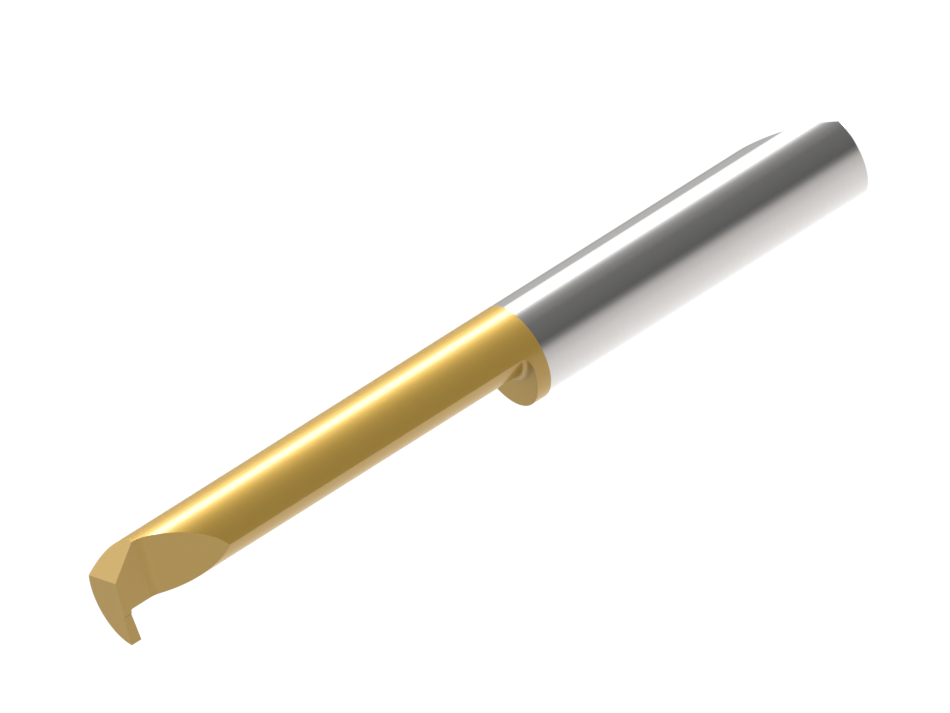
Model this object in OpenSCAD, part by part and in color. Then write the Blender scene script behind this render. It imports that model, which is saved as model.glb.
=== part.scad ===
/* [Shank] */

// Diameter of the round shank
shank_d = 7; // [5:0.1:12]

// Length of the shank from the shoulder face to the flat rear end
shank_len = 29; // [24:0.5:60]

// Length of shank that is still fully round, from the shoulder back to the slant
round_len = 19.7; // [15:0.1:22]

// Angle between the slanted stop face at the rear and the bar axis
slant_angle = 30; // [20:1:40]

// Rounding of the edge of the flat rear end
end_round = 0.15; // [0.05:0.05:0.5]

// Length of the coated collar behind the shoulder face, where the gold colour ends
coat_len = 1.15; // [0.5:0.05:6]

/* [Neck] */

// How much smaller than the shank the bar is ground over the head, across the diameter
head_taper = 0.05; // [0.01:0.01:0.2]

// Distance from the shoulder face to the front of the head, on the axis
reach = 33.6; // [20:0.1:60]

// How far the centre of the ground neck round sits off the bar axis
neck_offset = 2.5; // [2:0.05:3]

// Radius of the ground neck round on the tooth side
neck_r = 3.5; // [3.2:0.05:3.9]

// Inside radius where the neck runs into the shoulder face
shoulder_fillet = 0.6; // [0.2:0.05:1]

/* [Chip pocket] */

// Length of the flat rake land, measured back from the front
land_len = 2.7; // [1.5:0.1:5]

// Angle at which the pocket floor climbs out of the bar behind the land
ramp_angle = 34.4; // [20:0.2:50]

// Wheel radius between the rake land and the ramp
ramp_fillet = 1.5; // [0.4:0.1:3]

/* [Cutting head] */

// Width of the grooving tooth at its root, along the bar
tooth_w = 0.6; // [0.5:0.05:1.5]

// Angle at which the rear side of the tooth widens toward its tip
tooth_side_angle = 4; // [0.5:0.5:6]

// Inside radius between the rear of the tooth and the neck
tooth_fillet = 0.15; // [0.05:0.05:0.3]

// Clearance angle of the front face under the cutting edge
front_clearance = 2.5; // [0:0.5:8]

// Lead angle of the front face, seen from above, that puts the tooth in front
front_lead = 1.2; // [0:0.2:4]

// Half width left on the front edge between the axis and the ground corner
corner_y = 1.33; // [0.6:0.05:2]

// Angle of the ground corner facet, seen from above
corner_angle = 45; // [35:1:60]

// Clearance angle of the corner facet below the rake land
corner_clearance = 6.2; // [0:0.2:12]

/* [Chip former] */

// Distance from the end of the tooth radius to the step down from the rake land
step_gap = 0.1; // [0.05:0.05:0.3]

// Slope of the step
step_angle = 45; // [30:5:60]

// Depth of the chip former at the foot of the step
former_depth = 0.15; // [0.05:0.01:0.3]

// Drop of the cutting edge at the tip of the tooth below the rake land
tip_drop = 0.1; // [0:0.01:0.15]

/* [Hidden] */

$fn = 180;

bar_r = shank_d / 2;
head_r = bar_r - head_taper / 2;

// Distance from the axis at which the neck meets the tooth, level with the rake land
root_y = neck_r - neck_offset;

// Rear face of the tooth at its root, measured from the shoulder
tooth_x = reach - tooth_w;

// Top and foot of the step at the root of the tooth
step_y = root_y + tooth_fillet + step_gap;
foot_y = step_y + former_depth / tan(step_angle);

// Where the taper of the neck ends
taper_end = reach - 2 * land_len;

// Foot of the ramp, where the pocket floor would meet the land without its radius
ramp_x = reach - land_len;
ramp_run = (bar_r + 1) / tan(ramp_angle);
fillet_run = ramp_fillet * tan(ramp_angle / 2);

far = 4 * shank_d;

bare_metal = [0.66, 0.66, 0.67];
coated_metal = [0.80, 0.66, 0.34];

// Which node to show

// Round stock of the coated part: collar as large as the shank, tapered neck, head
module head_stock() {
    rotate([0, 90, 0]) {
        translate([0, 0, -coat_len]) cylinder(r = bar_r, h = coat_len);
        cylinder(r1 = bar_r, r2 = head_r, h = taper_end);
        translate([0, 0, taper_end]) cylinder(r = head_r, h = reach + 1 - taper_end);
    }
}

// Round stock of the bare shank, with the rounded edge at its rear end
module shank_stock() {
    rotate([0, 90, 0]) rotate_extrude() {
        polygon([
            [0, -shank_len],
            [bar_r - end_round, -shank_len],
            [bar_r, -shank_len + end_round],
            [bar_r, -coat_len],
            [0, -coat_len]
        ]);
        translate([bar_r - end_round, -shank_len + end_round]) circle(r = end_round);
    }
}

// Everything ground away between the shoulder and the tooth: a ring round the offset
// centre of the neck, rounded at both inner corners, that leaves the side of the tooth
module neck_grinding() {
    difference() {
        translate([0, -neck_offset, 0]) rotate([0, 90, 0]) rotate_extrude() {
            polygon([
                [neck_r, shoulder_fillet],
                [neck_r + shoulder_fillet, 0],
                [far, 0],
                [far, tooth_x],
                [neck_r + tooth_fillet, tooth_x],
                [neck_r, tooth_x - tooth_fillet]
            ]);
            translate([neck_r + shoulder_fillet, shoulder_fillet])
                circle(r = shoulder_fillet);
            translate([neck_r + tooth_fillet, tooth_x - tooth_fillet])
                circle(r = tooth_fillet);
        }
        translate([tooth_x, root_y + tooth_fillet, 0]) rotate([0, 0, tooth_side_angle])
            translate([0, -far, -far]) cube([far, 2 * far, 2 * far]);
    }
}

// Chip pocket: flat land on the axis, ramp up to the back of the bar, wheel radius between
module pocket_grinding() {
    translate([0, far / 2, 0]) rotate([90, 0, 0]) linear_extrude(height = far)
        polygon([
            [reach + far, 0],
            [ramp_x + fillet_run, 0],
            [ramp_x - fillet_run * cos(ramp_angle), fillet_run * sin(ramp_angle)],
            [ramp_x - ramp_run, bar_r + 1],
            [reach + far, bar_r + 1]
        ]);
    translate([ramp_x + fillet_run, far / 2, ramp_fillet]) rotate([90, 0, 0])
        cylinder(r = ramp_fillet, h = far);
}

// Front of the head: everything ahead of the front face, leaning back below the edge
module front_grinding() {
    translate([reach, 0, 0]) rotate([0, 0, -front_lead]) rotate([0, front_clearance, 0])
        translate([0, -far / 2, -far / 2]) cube([far, far, far]);
}

// Corner facet beside the front edge, leaning in below the rake land
module corner_grinding() {
    translate([reach, -corner_y, 0]) rotate([0, 0, -corner_angle])
        rotate([0, corner_clearance, 0])
        translate([0, -far / 2, -far / 2]) cube([far, far, far]);
}

// Chip former along the tooth: a step down at its root, then a gentle rise to its tip
module former_grinding() {
    rise = (former_depth - tip_drop) / (head_r - foot_y);
    translate([tooth_x - 1, 0, 0]) rotate([90, 0, 90]) linear_extrude(height = tooth_w + 2)
        polygon([
            [step_y, 0],
            [foot_y, -former_depth],
            [head_r + 1, -tip_drop + rise],
            [head_r + 1, 1],
            [step_y, 1]
        ]);
}

// Slanted stop face under the rear end of the shank
module slant_grinding() {
    translate([-round_len, -far / 2, -bar_r]) rotate([0, slant_angle, 0])
        translate([-2 * far, 0, -far]) cube([2 * far, far, far]);
}

// Bare shank: ground rod with the slanted stop face
module shank() {
    difference() {
        shank_stock();
        slant_grinding();
    }
}

// Coated part of the same rod: collar, neck and cutting head
module head() {
    difference() {
        head_stock();
        neck_grinding();
        pocket_grinding();
        front_grinding();
        corner_grinding();
        former_grinding();
    }
}

// The whole bar, one solid ground from one rod
module grooving_bar() {
    color(bare_metal) shank();
    color(coated_metal) head();
}

grooving_bar();
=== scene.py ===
import math

import bmesh
import bpy
from mathutils import Matrix, Vector


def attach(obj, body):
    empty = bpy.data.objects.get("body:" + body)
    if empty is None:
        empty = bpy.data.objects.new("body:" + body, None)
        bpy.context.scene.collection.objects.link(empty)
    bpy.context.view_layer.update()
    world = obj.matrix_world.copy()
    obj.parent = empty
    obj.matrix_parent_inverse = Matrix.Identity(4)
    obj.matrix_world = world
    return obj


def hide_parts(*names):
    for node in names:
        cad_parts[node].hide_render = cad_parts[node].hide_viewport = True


bl_info = {
    "name": "Internal grooving bar",
    "version": (1, 0, 0),
    "blender": (4, 5, 0),
    "location": "3D View > Sidebar > Grooving bar",
    "description": "Builds a coated solid carbide grooving bar and the studio round it",
    "category": "Object",
}

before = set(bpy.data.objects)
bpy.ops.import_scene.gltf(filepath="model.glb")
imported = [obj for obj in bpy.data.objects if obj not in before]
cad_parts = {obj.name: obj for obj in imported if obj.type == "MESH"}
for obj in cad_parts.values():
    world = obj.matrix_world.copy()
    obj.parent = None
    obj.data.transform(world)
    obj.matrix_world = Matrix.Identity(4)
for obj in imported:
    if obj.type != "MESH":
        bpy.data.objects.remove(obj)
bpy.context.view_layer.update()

MM = 0.001
NODE = "grooving_bar"

# Flat sides along a full circle of the ground surfaces, and along one small radius
ROUND_SIDES = 360
RADIUS_SIDES = 12

# How far the grinding blocks reach past the bar, and how far the round stock and the
# shaped cutters stand out past a finished face, in millimetres
FAR = 12.0
OVERCUT = 1.0

# Corners that lie nearer to each other than this are one corner, in millimetres
WELD = 0.001

# A face belongs to a round surface when its corners lie this near to it, in millimetres,
# and when it looks the same way within 4 degrees
ON_SURFACE = 0.004
SAME_WAY = math.cos(math.radians(4.0))

# Edges that turn by more than this are honed
SHARP_EDGE = math.radians(9.0)

# Material slots of the mesh
COATED, BARE = 0, 1

# Length of a wheel mark, as a multiple of its width
MARK_LENGTH = 60.0


class BarSizes(bpy.types.PropertyGroup):
    """Sizes of the bar, in metres, with the shoulder face at x = 0."""

    shank_d: bpy.props.FloatProperty(
        name="Shank diameter", description="Diameter of the round shank",
        default=0.007, unit="LENGTH", precision=5)
    shank_len: bpy.props.FloatProperty(
        name="Shank length", description="Shoulder face to the flat rear end",
        default=0.029, unit="LENGTH", precision=5)
    round_len: bpy.props.FloatProperty(
        name="Round length", description="Shoulder face back to the start of the slant",
        default=0.0197, unit="LENGTH", precision=5)
    end_round: bpy.props.FloatProperty(
        name="Rear edge rounding", description="Rounding of the edge of the rear end",
        default=0.00015, unit="LENGTH", precision=5)
    coat_len: bpy.props.FloatProperty(
        name="Coated collar", description="Length of coating behind the shoulder face",
        default=0.00115, unit="LENGTH", precision=5)
    reach: bpy.props.FloatProperty(
        name="Reach", description="Shoulder face to the front of the head, on the axis",
        default=0.0336, unit="LENGTH", precision=5)
    neck_offset: bpy.props.FloatProperty(
        name="Neck offset", description="How far the centre of the neck round is off axis",
        default=0.0025, unit="LENGTH", precision=5)
    neck_r: bpy.props.FloatProperty(
        name="Neck radius", description="Radius of the neck on the side of the tooth",
        default=0.0035, unit="LENGTH", precision=5)
    head_taper: bpy.props.FloatProperty(
        name="Head taper", description="How much smaller the head is, across the diameter",
        default=0.00005, unit="LENGTH", precision=5)
    shoulder_fillet: bpy.props.FloatProperty(
        name="Shoulder radius", description="Inside radius from the neck to the shoulder",
        default=0.0006, unit="LENGTH", precision=5)
    land_len: bpy.props.FloatProperty(
        name="Land length", description="Length of the flat rake land behind the front",
        default=0.0027, unit="LENGTH", precision=5)
    ramp_fillet: bpy.props.FloatProperty(
        name="Pocket radius", description="Wheel radius between the land and the ramp",
        default=0.0015, unit="LENGTH", precision=5)
    tooth_w: bpy.props.FloatProperty(
        name="Tooth width", description="Width of the tooth at its root",
        default=0.0006, unit="LENGTH", precision=5)
    tooth_fillet: bpy.props.FloatProperty(
        name="Tooth radius", description="Inside radius behind the tooth",
        default=0.00015, unit="LENGTH", precision=5)
    corner_y: bpy.props.FloatProperty(
        name="Corner distance", description="Front edge left on the side of the corner facet",
        default=0.00133, unit="LENGTH", precision=5)
    step_gap: bpy.props.FloatProperty(
        name="Step gap", description="Tooth radius to the step down from the rake land",
        default=0.0001, unit="LENGTH", precision=5)
    former_depth: bpy.props.FloatProperty(
        name="Former depth", description="Depth of the chip former at the foot of the step",
        default=0.00015, unit="LENGTH", precision=5)
    tip_drop: bpy.props.FloatProperty(
        name="Tip drop", description="Drop of the cutting edge below the rake land",
        default=0.0001, unit="LENGTH", precision=5)
    edge_break: bpy.props.FloatProperty(
        name="Edge break", description="Width of the honed edges",
        default=0.00003, unit="LENGTH", precision=5)


class BarAngles(bpy.types.PropertyGroup):
    """Angles of the ground faces."""

    slant: bpy.props.FloatProperty(
        name="Slant", description="Slanted stop face against the bar axis",
        default=math.radians(30.0), subtype="ANGLE")
    ramp: bpy.props.FloatProperty(
        name="Ramp", description="Climb of the pocket floor behind the land",
        default=math.radians(34.4), subtype="ANGLE")
    tooth_side: bpy.props.FloatProperty(
        name="Tooth side", description="Widening of the tooth toward its tip",
        default=math.radians(4.0), subtype="ANGLE")
    front_clearance: bpy.props.FloatProperty(
        name="Front clearance", description="Lean of the front face below the edge",
        default=math.radians(2.5), subtype="ANGLE")
    front_lead: bpy.props.FloatProperty(
        name="Front lead", description="Turn of the front face that puts the tooth ahead",
        default=math.radians(1.2), subtype="ANGLE")
    corner: bpy.props.FloatProperty(
        name="Corner", description="Corner facet against the bar axis, from above",
        default=math.radians(45.0), subtype="ANGLE")
    corner_clearance: bpy.props.FloatProperty(
        name="Corner clearance", description="Lean of the corner facet below the land",
        default=math.radians(6.2), subtype="ANGLE")
    step: bpy.props.FloatProperty(
        name="Step", description="Slope of the step at the root of the tooth",
        default=math.radians(45.0), subtype="ANGLE")


def linear(hex_code):
    """Linear red, green and blue of an sRGB hex value such as "E6B652"."""
    values = [int(hex_code[i:i + 2], 16) / 255 for i in (0, 2, 4)]
    return tuple(v / 12.92 if v <= 0.04045 else ((v + 0.055) / 1.055) ** 2.4 for v in values)


class BarFinish(bpy.types.PropertyGroup):
    """Colours of the bar."""

    coating: bpy.props.FloatVectorProperty(
        name="Coating", description="Titanium nitride gold",
        default=linear("B8963E"), subtype="COLOR", min=0.0, max=1.0)
    coating_shade: bpy.props.FloatVectorProperty(
        name="Coating shade", description="The same coating where it is a little thicker",
        default=linear("B4923C"), subtype="COLOR", min=0.0, max=1.0)
    carbide: bpy.props.FloatVectorProperty(
        name="Carbide", description="Ground cemented carbide",
        default=linear("D9D8D6"), subtype="COLOR", min=0.0, max=1.0)
    carbide_shade: bpy.props.FloatVectorProperty(
        name="Carbide shade", description="Ground carbide between the wheel marks",
        default=linear("D3D2D0"), subtype="COLOR", min=0.0, max=1.0)


class StageSettings(bpy.types.PropertyGroup):
    """The studio: a pale floor, a light tent, a white background and the camera."""

    floor_drop: bpy.props.FloatProperty(
        name="Floor drop",
        description="Floor below the axis of the bar, which a holder carries",
        default=0.060, unit="LENGTH")
    floor_size: bpy.props.FloatProperty(
        name="Floor size", description="Side of the floor", default=6.0, unit="LENGTH")
    tent_radius: bpy.props.FloatProperty(
        name="Tent radius", description="Light tent round the bar, which the metal mirrors",
        default=8.0, unit="LENGTH")
    distance: bpy.props.FloatProperty(
        name="Camera distance", description="Camera to the middle of the picture",
        default=0.5, unit="LENGTH")


def add_node(tree, kind, values=None, links=None, **settings):
    """Adds a node, sets its properties and its input values, and links its inputs."""
    node = tree.nodes.new(kind)
    for name, value in settings.items():
        setattr(node, name, value)
    for name, value in (values or {}).items():
        node.inputs[name].default_value = value
    for name, source in (links or {}).items():
        tree.links.new(source, node.inputs[name])
    return node


def new_material(name):
    """An empty node material and its tree."""
    material = bpy.data.materials.new(name)
    material.use_nodes = True
    material.node_tree.nodes.clear()
    return material, material.node_tree


def ground_surface(tree, light, dark, mark_mm, depth_mm):
    """Colour between two near tones, and the bump of fine wheel marks that run round the bar.

    Marks of a finishing wheel are about 0.01 mm apart, finer than a pixel of the picture,
    so they are drawn mark_mm apart along the bar.
    """
    place = add_node(tree, "ShaderNodeTexCoord")
    across = 1.0 / (mark_mm * MM)
    around = across / MARK_LENGTH
    stretch = add_node(
        tree, "ShaderNodeMapping", {"Scale": (across, around, around)},
        {"Vector": place.outputs["Object"]})
    marks = add_node(
        tree, "ShaderNodeTexNoise", {"Scale": 1.0, "Detail": 3.0, "Roughness": 0.6},
        {"Vector": stretch.outputs["Vector"]})
    tone = add_node(
        tree, "ShaderNodeMix", {"A": (*light, 1.0), "B": (*dark, 1.0)},
        {"Factor": marks.outputs["Fac"]}, data_type="RGBA")
    bump = add_node(
        tree, "ShaderNodeBump", {"Strength": 0.3, "Distance": depth_mm * MM},
        {"Height": marks.outputs["Fac"]})
    return tone.outputs["Result"], bump.outputs["Normal"]


def titanium_nitride_coating(finish):
    """Titanium nitride, a vapour-deposited hard coating on ground carbide.

    The thin ceramic film gives a deep satin gold that goes brown away from the light,
    with a clearer, paler gloss on top where a panel is mirrored.
    """
    material, tree = new_material("titanium_nitride_coating")
    colour, normal = ground_surface(
        tree, finish.coating, finish.coating_shade, mark_mm=0.08, depth_mm=0.0004)
    shader = add_node(
        tree, "ShaderNodeBsdfPrincipled",
        {"Metallic": 1.0, "Roughness": 0.504, "Coat Weight": 0.29, "Coat Roughness": 0.12,
         "Coat IOR": 3.0},
        {"Base Color": colour, "Normal": normal})
    add_node(tree, "ShaderNodeOutputMaterial", links={"Surface": shader.outputs["BSDF"]})
    return material


def ground_carbide(finish):
    """Cemented carbide, ground round between wheels to a bright finish.

    It mirrors the studio sharply, a little darker than steel, with the faintest lines
    running round it.
    """
    material, tree = new_material("ground_cemented_carbide")
    colour, normal = ground_surface(
        tree, finish.carbide, finish.carbide_shade, mark_mm=0.08, depth_mm=0.0002)
    shader = add_node(
        tree, "ShaderNodeBsdfPrincipled",
        {"Metallic": 1.0, "Roughness": 0.09}, {"Base Color": colour, "Normal": normal})
    add_node(tree, "ShaderNodeOutputMaterial", links={"Surface": shader.outputs["BSDF"]})
    return material


def settings_of(group):
    """Names of the settings of a property group, without the two that every group has."""
    return [n for n in group.bl_rna.properties.keys() if n not in ("rna_type", "name")]


def in_mm(group):
    """The sizes of a property group as plain numbers in millimetres."""
    return {name: getattr(group, name) / MM for name in settings_of(group)}


def arc(centre, radius, start, end, sides=RADIUS_SIDES):
    """Points of an arc, both ends included, with the angles in degrees."""
    x, y = centre
    steps = [math.radians(start + (end - start) * i / sides) for i in range(sides + 1)]
    return [(x + radius * math.cos(t), y + radius * math.sin(t)) for t in steps]


def mesh_object(name, build):
    """An object whose mesh is filled by build(bm)."""
    bm = bmesh.new()
    build(bm)
    bmesh.ops.recalc_face_normals(bm, faces=bm.faces)
    mesh = bpy.data.meshes.new(name)
    bm.to_mesh(mesh)
    bm.free()
    thing = bpy.data.objects.new(name, mesh)
    bpy.context.scene.collection.objects.link(thing)
    return thing


def turned(name, outline, centre_y=0.0, closed=False):
    """A body turned about a line along X: outline holds (x, radius) points."""
    angles = [2 * math.pi * (i + 0.5) / ROUND_SIDES for i in range(ROUND_SIDES)]

    def build(bm):
        rings = []
        for x, r in outline:
            rings.append([bm.verts.new((x, centre_y + r * math.cos(t), r * math.sin(t)))
                          for t in angles])
        pairs = list(zip(rings, rings[1:]))
        if closed:
            pairs.append((rings[-1], rings[0]))
        for a, b in pairs:
            for i in range(ROUND_SIDES):
                j = (i + 1) % ROUND_SIDES
                bm.faces.new((a[i], a[j], b[j], b[i]))
        if not closed:
            bm.faces.new(rings[0])
            bm.faces.new(rings[-1])

    return mesh_object(name, build)


def prism(name, outline, start, end):
    """A prism between two flat ends: start and end turn an outline point into a corner."""

    def build(bm):
        a = [bm.verts.new(start(*p)) for p in outline]
        b = [bm.verts.new(end(*p)) for p in outline]
        bm.faces.new(a)
        bm.faces.new(b)
        for i in range(len(outline)):
            j = (i + 1) % len(outline)
            bm.faces.new((a[i], a[j], b[j], b[i]))

    return mesh_object(name, build)


def block(name, low, high, place):
    """A box from low to high, moved by the matrix place."""
    corners = [(low[0], low[1]), (high[0], low[1]), (high[0], high[1]), (low[0], high[1])]
    return prism(
        name, corners,
        lambda x, y: place @ Vector((x, y, low[2])),
        lambda x, y: place @ Vector((x, y, high[2])))


def cut(body, cutters):
    """Takes the cutters away from the body and deletes them."""
    for cutter in cutters:
        step = body.modifiers.new(cutter.name, "BOOLEAN")
        step.operation = "DIFFERENCE"
        step.solver = "EXACT"
        step.object = cutter
    evaluated = body.evaluated_get(bpy.context.evaluated_depsgraph_get())
    result = bpy.data.meshes.new_from_object(evaluated)
    body.modifiers.clear()
    old = body.data
    body.data = result
    bpy.data.meshes.remove(old)
    for cutter in cutters:
        mesh = cutter.data
        bpy.data.objects.remove(cutter)
        bpy.data.meshes.remove(mesh)


def shift(x, y, z):
    """A matrix that moves."""
    return Matrix.Translation((x, y, z))


def turn(angle, axis):
    """A matrix that turns by an angle in radians about X, Y or Z."""
    return Matrix.Rotation(angle, 4, axis)


def derived(sizes, angles):
    """Sizes that follow from the others, added to the table of sizes."""
    s = in_mm(sizes)
    s["bar_r"] = s["shank_d"] / 2
    s["head_r"] = s["bar_r"] - s["head_taper"] / 2
    s["root_y"] = s["neck_r"] - s["neck_offset"]
    s["tooth_x"] = s["reach"] - s["tooth_w"]
    s["ramp_x"] = s["reach"] - s["land_len"]
    s["taper_end"] = s["reach"] - 2 * s["land_len"]
    s["fillet_run"] = s["ramp_fillet"] * math.tan(angles.ramp / 2)
    s["step_y"] = s["root_y"] + s["tooth_fillet"] + s["step_gap"]
    s["foot_y"] = s["step_y"] + s["former_depth"] / math.tan(angles.step)
    return s


def bar_stock(s):
    """Round stock, with a ring of corners where the coating ends."""
    e = s["end_round"]
    outline = [(-s["shank_len"], s["bar_r"] - e)]
    outline += arc((-s["shank_len"] + e, s["bar_r"] - e), e, 180, 90,
                   RADIUS_SIDES // 2)[1:]
    outline += [(-s["coat_len"], s["bar_r"]), (0, s["bar_r"])]
    outline += [(s["taper_end"], s["head_r"]), (s["reach"] + OVERCUT, s["head_r"])]
    return turned("grooving_bar_ground", outline)


def neck_grinding(s, angles):
    """The ring ground away round the neck, rounded at both inner corners."""
    f, t, r = s["shoulder_fillet"], s["tooth_fillet"], s["neck_r"]
    outline = arc((f, r + f), f, -90, -180)
    outline += [(0, FAR), (s["tooth_x"], FAR)]
    outline += arc((s["tooth_x"] - t, r + t), t, 0, -90)
    ring = turned("neck_grinding", outline, -s["neck_offset"], closed=True)
    side = block(
        "tooth_side", (0, -FAR, -2 * FAR), (FAR, 2 * FAR, 2 * FAR),
        shift(s["tooth_x"], s["root_y"] + t, 0) @ turn(angles.tooth_side, "Z"))
    cut(ring, [side])
    return ring


def pocket_grinding(s, angles):
    """Flat rake land, ramp up to the back of the bar, and the wheel radius between."""
    top = s["bar_r"] + OVERCUT
    front = s["reach"] + 5 * OVERCUT
    run = top / math.tan(angles.ramp)
    lean = math.degrees(angles.ramp)
    outline = [(front, 0)]
    outline += arc((s["ramp_x"] + s["fillet_run"], s["ramp_fillet"]), s["ramp_fillet"],
                   -90, -90 - lean, 2 * RADIUS_SIDES)
    outline += [(s["ramp_x"] - run, top), (front, top)]
    return prism("pocket_grinding", outline,
                 lambda x, z: (x, -FAR, z), lambda x, z: (x, FAR, z))


def former_grinding(s):
    """Chip former along the tooth: a step down at its root, then a gentle rise to its tip."""
    rise = (s["former_depth"] - s["tip_drop"]) / (s["head_r"] - s["foot_y"])
    tip = s["head_r"] + OVERCUT
    outline = [(s["step_y"], 0), (s["foot_y"], -s["former_depth"]),
               (tip, -s["tip_drop"] + rise * OVERCUT), (tip, OVERCUT),
               (s["step_y"], OVERCUT)]
    back, front = s["tooth_x"] - OVERCUT, s["reach"] + OVERCUT
    return prism("former_grinding", outline,
                 lambda y, z: (back, y, z), lambda y, z: (front, y, z))


def end_grindings(s, angles):
    """Blocks that take off the front, the corner and the slanted rear end."""
    front = block(
        "front_grinding", (0, -FAR, -FAR), (FAR, FAR, FAR),
        shift(s["reach"], 0, 0) @ turn(-angles.front_lead, "Z")
        @ turn(angles.front_clearance, "Y"))
    corner = block(
        "corner_grinding", (0, -FAR, -FAR), (FAR, FAR, FAR),
        shift(s["reach"], -s["corner_y"], 0) @ turn(-angles.corner, "Z")
        @ turn(angles.corner_clearance, "Y"))
    slant = block(
        "slant_grinding", (-2 * FAR, -FAR, -FAR), (FAR, FAR, 0),
        shift(-s["round_len"], 0, -s["bar_r"]) @ turn(angles.slant, "Y"))
    return [front, corner, slant]


def ring_normal(p, centre_x, centre_r, centre_y=0.0):
    """Direction and distance from the core circle of a ring about a line along X."""
    radius = math.hypot(p.y - centre_y, p.z)
    out = Vector((0, (p.y - centre_y) / radius, p.z / radius))
    away = Vector((p.x - centre_x, 0, 0)) + out * (radius - centre_r)
    return away.normalized(), away.length


def round_surfaces(s):
    """The round surfaces of the bar: each gives the true normal and the distance off it."""
    off, slope = s["neck_offset"], (s["bar_r"] - s["head_r"]) / s["taper_end"]

    def back(p):
        radius = s["bar_r"] - slope * min(max(p.x, 0), s["taper_end"])
        here = math.hypot(p.y, p.z)
        return Vector((0, p.y, p.z)).normalized(), abs(here - radius)

    def neck(p):
        here = math.hypot(p.y + off, p.z)
        return Vector((0, p.y + off, p.z)).normalized(), abs(here - s["neck_r"])

    def shoulder(p):
        f = s["shoulder_fillet"]
        away, length = ring_normal(p, f, s["neck_r"] + f, -off)
        return -away, abs(length - f)

    def tooth(p):
        t = s["tooth_fillet"]
        away, length = ring_normal(p, s["tooth_x"] - t, s["neck_r"] + t, -off)
        return -away, abs(length - t)

    def pocket(p):
        centre = Vector((s["ramp_x"] + s["fillet_run"], 0, s["ramp_fillet"]))
        away = Vector((p.x - centre.x, 0, p.z - centre.z))
        return -away.normalized(), abs(away.length - s["ramp_fillet"])

    def rear_edge(p):
        e = s["end_round"]
        away, length = ring_normal(p, e - s["shank_len"], s["bar_r"] - e)
        return away, abs(length - e)

    return [back, neck, shoulder, tooth, pocket, rear_edge]


def surface_of(face, surfaces):
    """The round surface that a face lies on, or None for a flat face."""
    middle = face.calc_center_median()
    for surface in surfaces:
        if all(surface(v.co)[1] < ON_SURFACE for v in face.verts):
            if surface(middle)[0].dot(face.normal) > SAME_WAY:
                return surface
    return None


def close_mesh(bm):
    """Puts back a face that the cuts may lose where a wheel ends level with a turned edge."""
    bmesh.ops.holes_fill(bm, edges=[e for e in bm.edges if e.is_boundary], sides=0)
    bmesh.ops.recalc_face_normals(bm, faces=bm.faces)


def hone_edges(bm, width):
    """Breaks the sharp edges and returns the narrow faces along them."""
    close_mesh(bm)
    bmesh.ops.remove_doubles(bm, verts=bm.verts, dist=WELD)
    bmesh.ops.dissolve_degenerate(bm, edges=bm.edges, dist=WELD)
    bm.normal_update()
    sharp = [e for e in bm.edges if len(e.link_faces) == 2
             and e.calc_face_angle(0.0) > SHARP_EDGE]
    result = bmesh.ops.bevel(
        bm, geom=sharp, offset=width / 2, offset_type="WIDTH", segments=2, profile=0.5,
        affect="EDGES", clamp_overlap=True, loop_slide=True, material=-1)
    return set(result["faces"])


def true_normals(bm, surfaces, broken):
    """One normal for each corner of each face, smooth on round faces and along the edges."""
    bm.normal_update()
    at_corner = {}
    around = {}
    for face in bm.faces:
        if face in broken:
            continue
        surface = surface_of(face, surfaces)
        for corner in face.loops:
            normal = surface(corner.vert.co)[0] if surface else face.normal.copy()
            at_corner[corner] = normal
            around.setdefault(corner.vert, []).append(normal)
    for face in broken:
        for corner in face.loops:
            near = around.get(corner.vert)
            if not near:
                near = [f.normal for f in corner.vert.link_faces]
            at_corner[corner] = sum(near, Vector()).normalized()
    return [at_corner[c] for face in bm.faces for c in face.loops]


def finish_mesh(body, s, materials):
    """Breaks the edges, splits the finish at the coating line and scales to metres."""
    bm = bmesh.new()
    bm.from_mesh(body.data)
    broken = hone_edges(bm, s["edge_break"])
    normals = true_normals(bm, round_surfaces(s), broken)
    for face in bm.faces:
        face.smooth = True
        bare = face.calc_center_median().x < -s["coat_len"]
        face.material_index = BARE if bare else COATED
    bmesh.ops.scale(bm, vec=(MM, MM, MM), verts=bm.verts)
    body.data.materials.clear()
    for material in materials:
        body.data.materials.append(material)
    bm.to_mesh(body.data)
    bm.free()
    body.data.normals_split_custom_set(normals)
    body.data.update()


class OBJECT_OT_grooving_bar(bpy.types.Operator):
    """Grind the whole bar from round stock and give it its two finishes"""

    bl_idname = "object.grooving_bar"
    bl_label = "Grooving bar"

    def execute(self, context):
        scene = context.scene
        angles = scene.bar_angles
        s = derived(scene.bar_sizes, angles)
        body = bar_stock(s)
        cutters = [neck_grinding(s, angles), pocket_grinding(s, angles)]
        cutters += end_grindings(s, angles)
        cutters += [former_grinding(s)]
        cut(body, cutters)
        if not body.data.polygons:
            raise RuntimeError("grinding left nothing of the bar")
        finish = scene.bar_finish
        finish_mesh(body, s, [titanium_nitride_coating(finish), ground_carbide(finish)])
        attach(body, "root")
        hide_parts(NODE)
        return {"FINISHED"}


# Brightness of the tent's cloth, 1 being plain white, by the angle about the bar in degrees:
# 0 is straight up and 90 is the side of the tooth. Round the shank the tent has a dark
# strip above, a strong narrow panel low on the back side and pale walls on the side of the
# tooth.
SHANK_STUDIO = [
    (-180, 0.58), (-172, 0.62), (-151, 0.66), (-149, 1.43), (-143, 1.43), (-136, 3.9),
    (-129.5, 10.0), (-125, 12.0), (-120, 6.2), (-115, 4.0), (-111, 1.6), (-105, 0.90),
    (-100, 0.59), (-95, 0.44), (-85, 0.31), (-66, 0.19), (-40, 0.16), (-22, 0.14),
    (-13, 0.24), (-4, 0.47), (5, 0.64), (29, 0.83), (63, 0.99), (104, 1.23), (117, 1.38),
    (145, 1.36), (160, 0.60), (172, 0.45), (180, 0.58),
]

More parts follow.
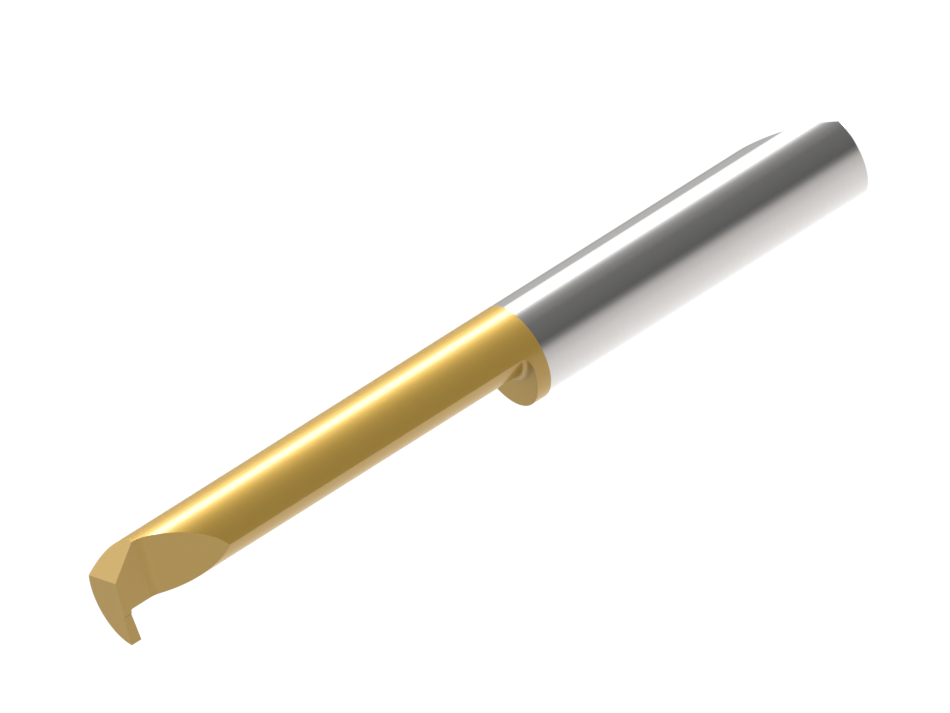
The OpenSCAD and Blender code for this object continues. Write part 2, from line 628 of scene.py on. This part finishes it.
# In front of the head it is one large soft panel above and behind, and darker on the side
# of the tooth
HEAD_STUDIO = [
    (-180, 1.72), (-162, 1.40), (-140, 1.68), (-115, 0.80), (-88, 0.45), (-60, 0.75),
    (-35, 1.10), (0, 1.40), (45, 0.69), (90, 0.22), (134, 0.45), (149, 0.57), (165, 1.68),
    (180, 1.72),
]

# Between the two, the tooth's side has one more light, which the inside radii mirror, and
# the large panel above and behind starts beside the shank as a bright strip
MIDDLE_STUDIO = [
    (-180, 1.60), (-165, 1.30), (-148, 1.00), (-125, 1.05), (-100, 0.60), (-80, 0.38),
    (-60, 0.42), (-35, 0.80), (-12, 1.00), (12, 0.93), (28, 0.68), (45, 0.62), (65, 0.82),
    (80, 1.05), (108, 1.18), (124, 1.16), (145, 0.90), (150, 0.54), (165, 1.58), (180, 1.60),
]
STRIP_STUDIO = [
    (-180, 1.90), (-162, 1.70), (-148, 2.00), (-125, 2.85), (-108, 2.75), (-92, 2.20),
    (-78, 2.30), (-62, 2.75), (-42, 2.60), (-22, 1.80), (-6, 1.10), (12, 0.93), (28, 0.70),
    (45, 0.64), (65, 0.82), (80, 1.07), (108, 1.18), (124, 1.16), (145, 0.90), (165, 1.50),
    (180, 1.90),
]

# The highest brightness in the tables, because a colour ramp holds only 0 to 1
STUDIO_PEAK = 12.0

# Where each zone takes over from the one before it, beginning with the shank's, by the
# direction along the bar, which is -1 toward the rear and 1 toward the front
STUDIO_ZONES = [
    (STRIP_STUDIO, -0.40, -0.22), (MIDDLE_STUDIO, -0.20, -0.06), (HEAD_STUDIO, 0.22, 0.42),
]

# The walls beside the shank, on the side of the tooth, are a warm white
WHITE = (1.0, 1.0, 1.0)
WARM_WHITE = (1.045, 1.01, 1.0)
WARM_ANGLES = (-4, 100)

# Subdivisions of the ball of the tent. Its light goes by the angle, so no facet shows.
TENT_SUBDIVISIONS = 3

# The floor's material is this share glow, a little brighter than white. The rest of it is
# matt and keeps the shadow.
FLOOR_GLOW_SHARE = 0.9
FLOOR_GLOW = 1.06

# Thickness of the floor, in metres
FLOOR_THICKNESS = 0.01


def studio_band(tree, share, table, wall):
    """A ramp with the brightness of a table, as a part of the peak, and the wall's colour."""
    ramp = add_node(tree, "ShaderNodeValToRGB", links={"Fac": share})
    elements = ramp.color_ramp.elements
    while len(elements) < len(table):
        elements.new(0.5)
    for element, (angle, level) in zip(elements, table):
        in_wall = WARM_ANGLES[0] <= angle <= WARM_ANGLES[1]
        tint = wall if in_wall else WHITE
        element.position = (angle + 180) / 360
        element.color = (*[level * part / STUDIO_PEAK for part in tint], 1.0)
    return ramp.outputs["Color"]


def along_bar(tree, x, start, end):
    """0 before start and 1 after end, by the direction along the bar."""
    share = add_node(
        tree, "ShaderNodeMapRange",
        {"From Min": start, "From Max": end, "To Min": 0.0, "To Max": 1.0}, {"Value": x})
    return share.outputs["Result"]


def white_world():
    """A plain white background, the same for every ray."""
    world = bpy.data.worlds.new("white_background")
    world.use_nodes = True
    tree = world.node_tree
    tree.nodes.clear()
    white = add_node(
        tree, "ShaderNodeBackground", {"Color": (*WHITE, 1.0), "Strength": 1.0})
    add_node(tree, "ShaderNodeOutputWorld", links={"Surface": white.outputs["Background"]})
    return world


def lit_diffusion_cloth():
    """Soft lit cloth of the light tent, brighter and darker by the angle about the bar."""
    material, tree = new_material("lit_diffusion_cloth")
    place = add_node(tree, "ShaderNodeTexCoord")
    way = add_node(
        tree, "ShaderNodeVectorMath", operation="NORMALIZE",
        links={0: place.outputs["Object"]})
    split = add_node(
        tree, "ShaderNodeSeparateXYZ", links={"Vector": way.outputs["Vector"]})
    around = add_node(
        tree, "ShaderNodeMath", operation="ARCTAN2",
        links={0: split.outputs["Y"], 1: split.outputs["Z"]})
    share = add_node(
        tree, "ShaderNodeMapRange",
        {"From Min": -math.pi, "From Max": math.pi, "To Min": 0.0, "To Max": 1.0},
        {"Value": around.outputs["Value"]})
    panels = studio_band(tree, share.outputs["Result"], SHANK_STUDIO, WARM_WHITE)
    for table, start, end in STUDIO_ZONES:
        panels = add_node(
            tree, "ShaderNodeMix", data_type="RGBA",
            links={"Factor": along_bar(tree, split.outputs["X"], start, end), "A": panels,
                   "B": studio_band(tree, share.outputs["Result"], table, WHITE)},
        ).outputs["Result"]
    glow = add_node(
        tree, "ShaderNodeEmission", {"Strength": STUDIO_PEAK}, {"Color": panels})
    add_node(tree, "ShaderNodeOutputMaterial", links={"Surface": glow.outputs["Emission"]})
    return material


def light_tent(radius):
    """A closed tent of lit cloth round the bar, which the camera looks through."""
    tent = mesh_object(
        "light_tent",
        lambda bm: bmesh.ops.create_icosphere(
            bm, subdivisions=TENT_SUBDIVISIONS, radius=radius))
    tent.data.materials.append(lit_diffusion_cloth())
    tent.visible_camera = False


def floor_paint():
    """Matt white floor that shows as the white background, with the shadow left in it."""
    material, tree = new_material("matt_white_paint")
    matt = add_node(
        tree, "ShaderNodeBsdfDiffuse", {"Color": (*linear("F4F4F4"), 1.0), "Roughness": 1.0})
    glow = add_node(
        tree, "ShaderNodeEmission", {"Color": (*WHITE, 1.0), "Strength": FLOOR_GLOW})
    path = add_node(tree, "ShaderNodeLightPath")
    mirrored = add_node(
        tree, "ShaderNodeMath", operation="MAXIMUM",
        links={0: path.outputs["Is Glossy Ray"], 1: path.outputs["Is Transmission Ray"]})
    seen = add_node(
        tree, "ShaderNodeMath", operation="MAXIMUM",
        links={0: path.outputs["Is Camera Ray"], 1: mirrored.outputs["Value"]})
    share = add_node(
        tree, "ShaderNodeMath", {1: FLOOR_GLOW_SHARE}, operation="MULTIPLY",
        links={0: seen.outputs["Value"]})
    mix = add_node(
        tree, "ShaderNodeMixShader",
        links={0: share.outputs["Value"], 1: matt.outputs["BSDF"],
               2: glow.outputs["Emission"]})
    add_node(tree, "ShaderNodeOutputMaterial", links={"Surface": mix.outputs["Shader"]})
    return material


# The view of the photograph, in the frame of the bar: the bar points 25.8 degrees out of
# the picture toward the camera, is turned 32 degrees about its length, and its picture is
# turned 32.18 degrees from level.
OUT_OF_PICTURE = math.asin(0.435)
ROLL_OF_BAR = math.radians(32.0)
TURN_OF_PICTURE = math.radians(32.18)

# Width and scale of the photograph, and where the middle of the shoulder face shows, in
# pixels to the right of its middle and below it
IMAGE_WIDTH_PX = 950
PX_PER_MM = 14.986
SHOULDER_PX = (29.03, 3.42)


def camera_axes():
    """Right, up and backward directions of the camera in the frame of the bar."""
    sin_out, cos_out = math.sin(OUT_OF_PICTURE), math.cos(OUT_OF_PICTURE)
    across = Vector((0, math.cos(ROLL_OF_BAR), math.sin(ROLL_OF_BAR)))
    near = Vector((0, -math.sin(ROLL_OF_BAR), math.cos(ROLL_OF_BAR)))
    along = Vector((-cos_out, 0, 0)) + near * sin_out
    back = Vector((sin_out, 0, 0)) + near * cos_out
    c, s = math.cos(TURN_OF_PICTURE), math.sin(TURN_OF_PICTURE)
    return along * c + across * s, along * s - across * c, back


def add_camera(stage):
    """A parallel view at the angle of the photograph."""
    right, up, back = camera_axes()
    data = bpy.data.cameras.new("camera")
    camera = bpy.data.objects.new("camera", data)
    bpy.context.scene.collection.objects.link(camera)
    data.type = "ORTHO"
    data.ortho_scale = IMAGE_WIDTH_PX / PX_PER_MM * MM
    middle = (up * SHOULDER_PX[1] - right * SHOULDER_PX[0]) * (MM / PX_PER_MM)
    turned_to = Matrix((right, up, back)).transposed().to_4x4()
    camera.matrix_world = Matrix.Translation(middle + back * stage.distance) @ turned_to
    bpy.context.scene.camera = camera


class SCENE_OT_bar_stage(bpy.types.Operator):
    """Set up the floor, the light and the camera"""

    bl_idname = "scene.bar_stage"
    bl_label = "Stage"

    def execute(self, context):
        stage = context.scene.bar_stage
        half = stage.floor_size / 2
        corners = [(-half, -half), (half, -half), (half, half), (-half, half)]
        high = -stage.floor_drop
        low = high - FLOOR_THICKNESS
        floor = prism("floor", corners,
                      lambda x, y: (x, y, low), lambda x, y: (x, y, high))
        floor.data.materials.append(floor_paint())
        # The metal mirrors the tent's lower half, and is lit by it, through the floor
        floor.visible_glossy = False
        floor.visible_shadow = False
        light_tent(stage.tent_radius)
        context.scene.world = white_world()
        context.scene.view_settings.view_transform = "Standard"
        add_camera(stage)
        return {"FINISHED"}


class VIEW3D_PT_grooving_bar(bpy.types.Panel):
    """Sizes, finish and stage of the grooving bar"""

    bl_idname = "VIEW3D_PT_grooving_bar"
    bl_label = "Grooving bar"
    bl_space_type = "VIEW_3D"
    bl_region_type = "UI"
    bl_category = "Grooving bar"

    def draw(self, context):
        layout = self.layout
        scene = context.scene
        for group in (scene.bar_sizes, scene.bar_angles, scene.bar_finish, scene.bar_stage):
            box = layout.box()
            for name in settings_of(group):
                box.prop(group, name)
        layout.operator(OBJECT_OT_grooving_bar.bl_idname)
        layout.operator(SCENE_OT_bar_stage.bl_idname)


GROUPS = {
    "bar_sizes": BarSizes,
    "bar_angles": BarAngles,
    "bar_finish": BarFinish,
    "bar_stage": StageSettings,
}
CLASSES = [
    *GROUPS.values(), OBJECT_OT_grooving_bar, SCENE_OT_bar_stage, VIEW3D_PT_grooving_bar,
]


def register():
    """Adds the settings, the operators and the panel."""
    for cls in CLASSES:
        bpy.utils.register_class(cls)
    for name, group in GROUPS.items():
        setattr(bpy.types.Scene, name, bpy.props.PointerProperty(type=group))


def unregister():
    """Takes them away again."""
    for name in GROUPS:
        delattr(bpy.types.Scene, name)
    for cls in reversed(CLASSES):
        bpy.utils.unregister_class(cls)


def main():
    """Builds the bar and its stage."""
    register()
    bpy.ops.object.grooving_bar()
    bpy.ops.scene.bar_stage()


if __name__ == "__main__":
    main()
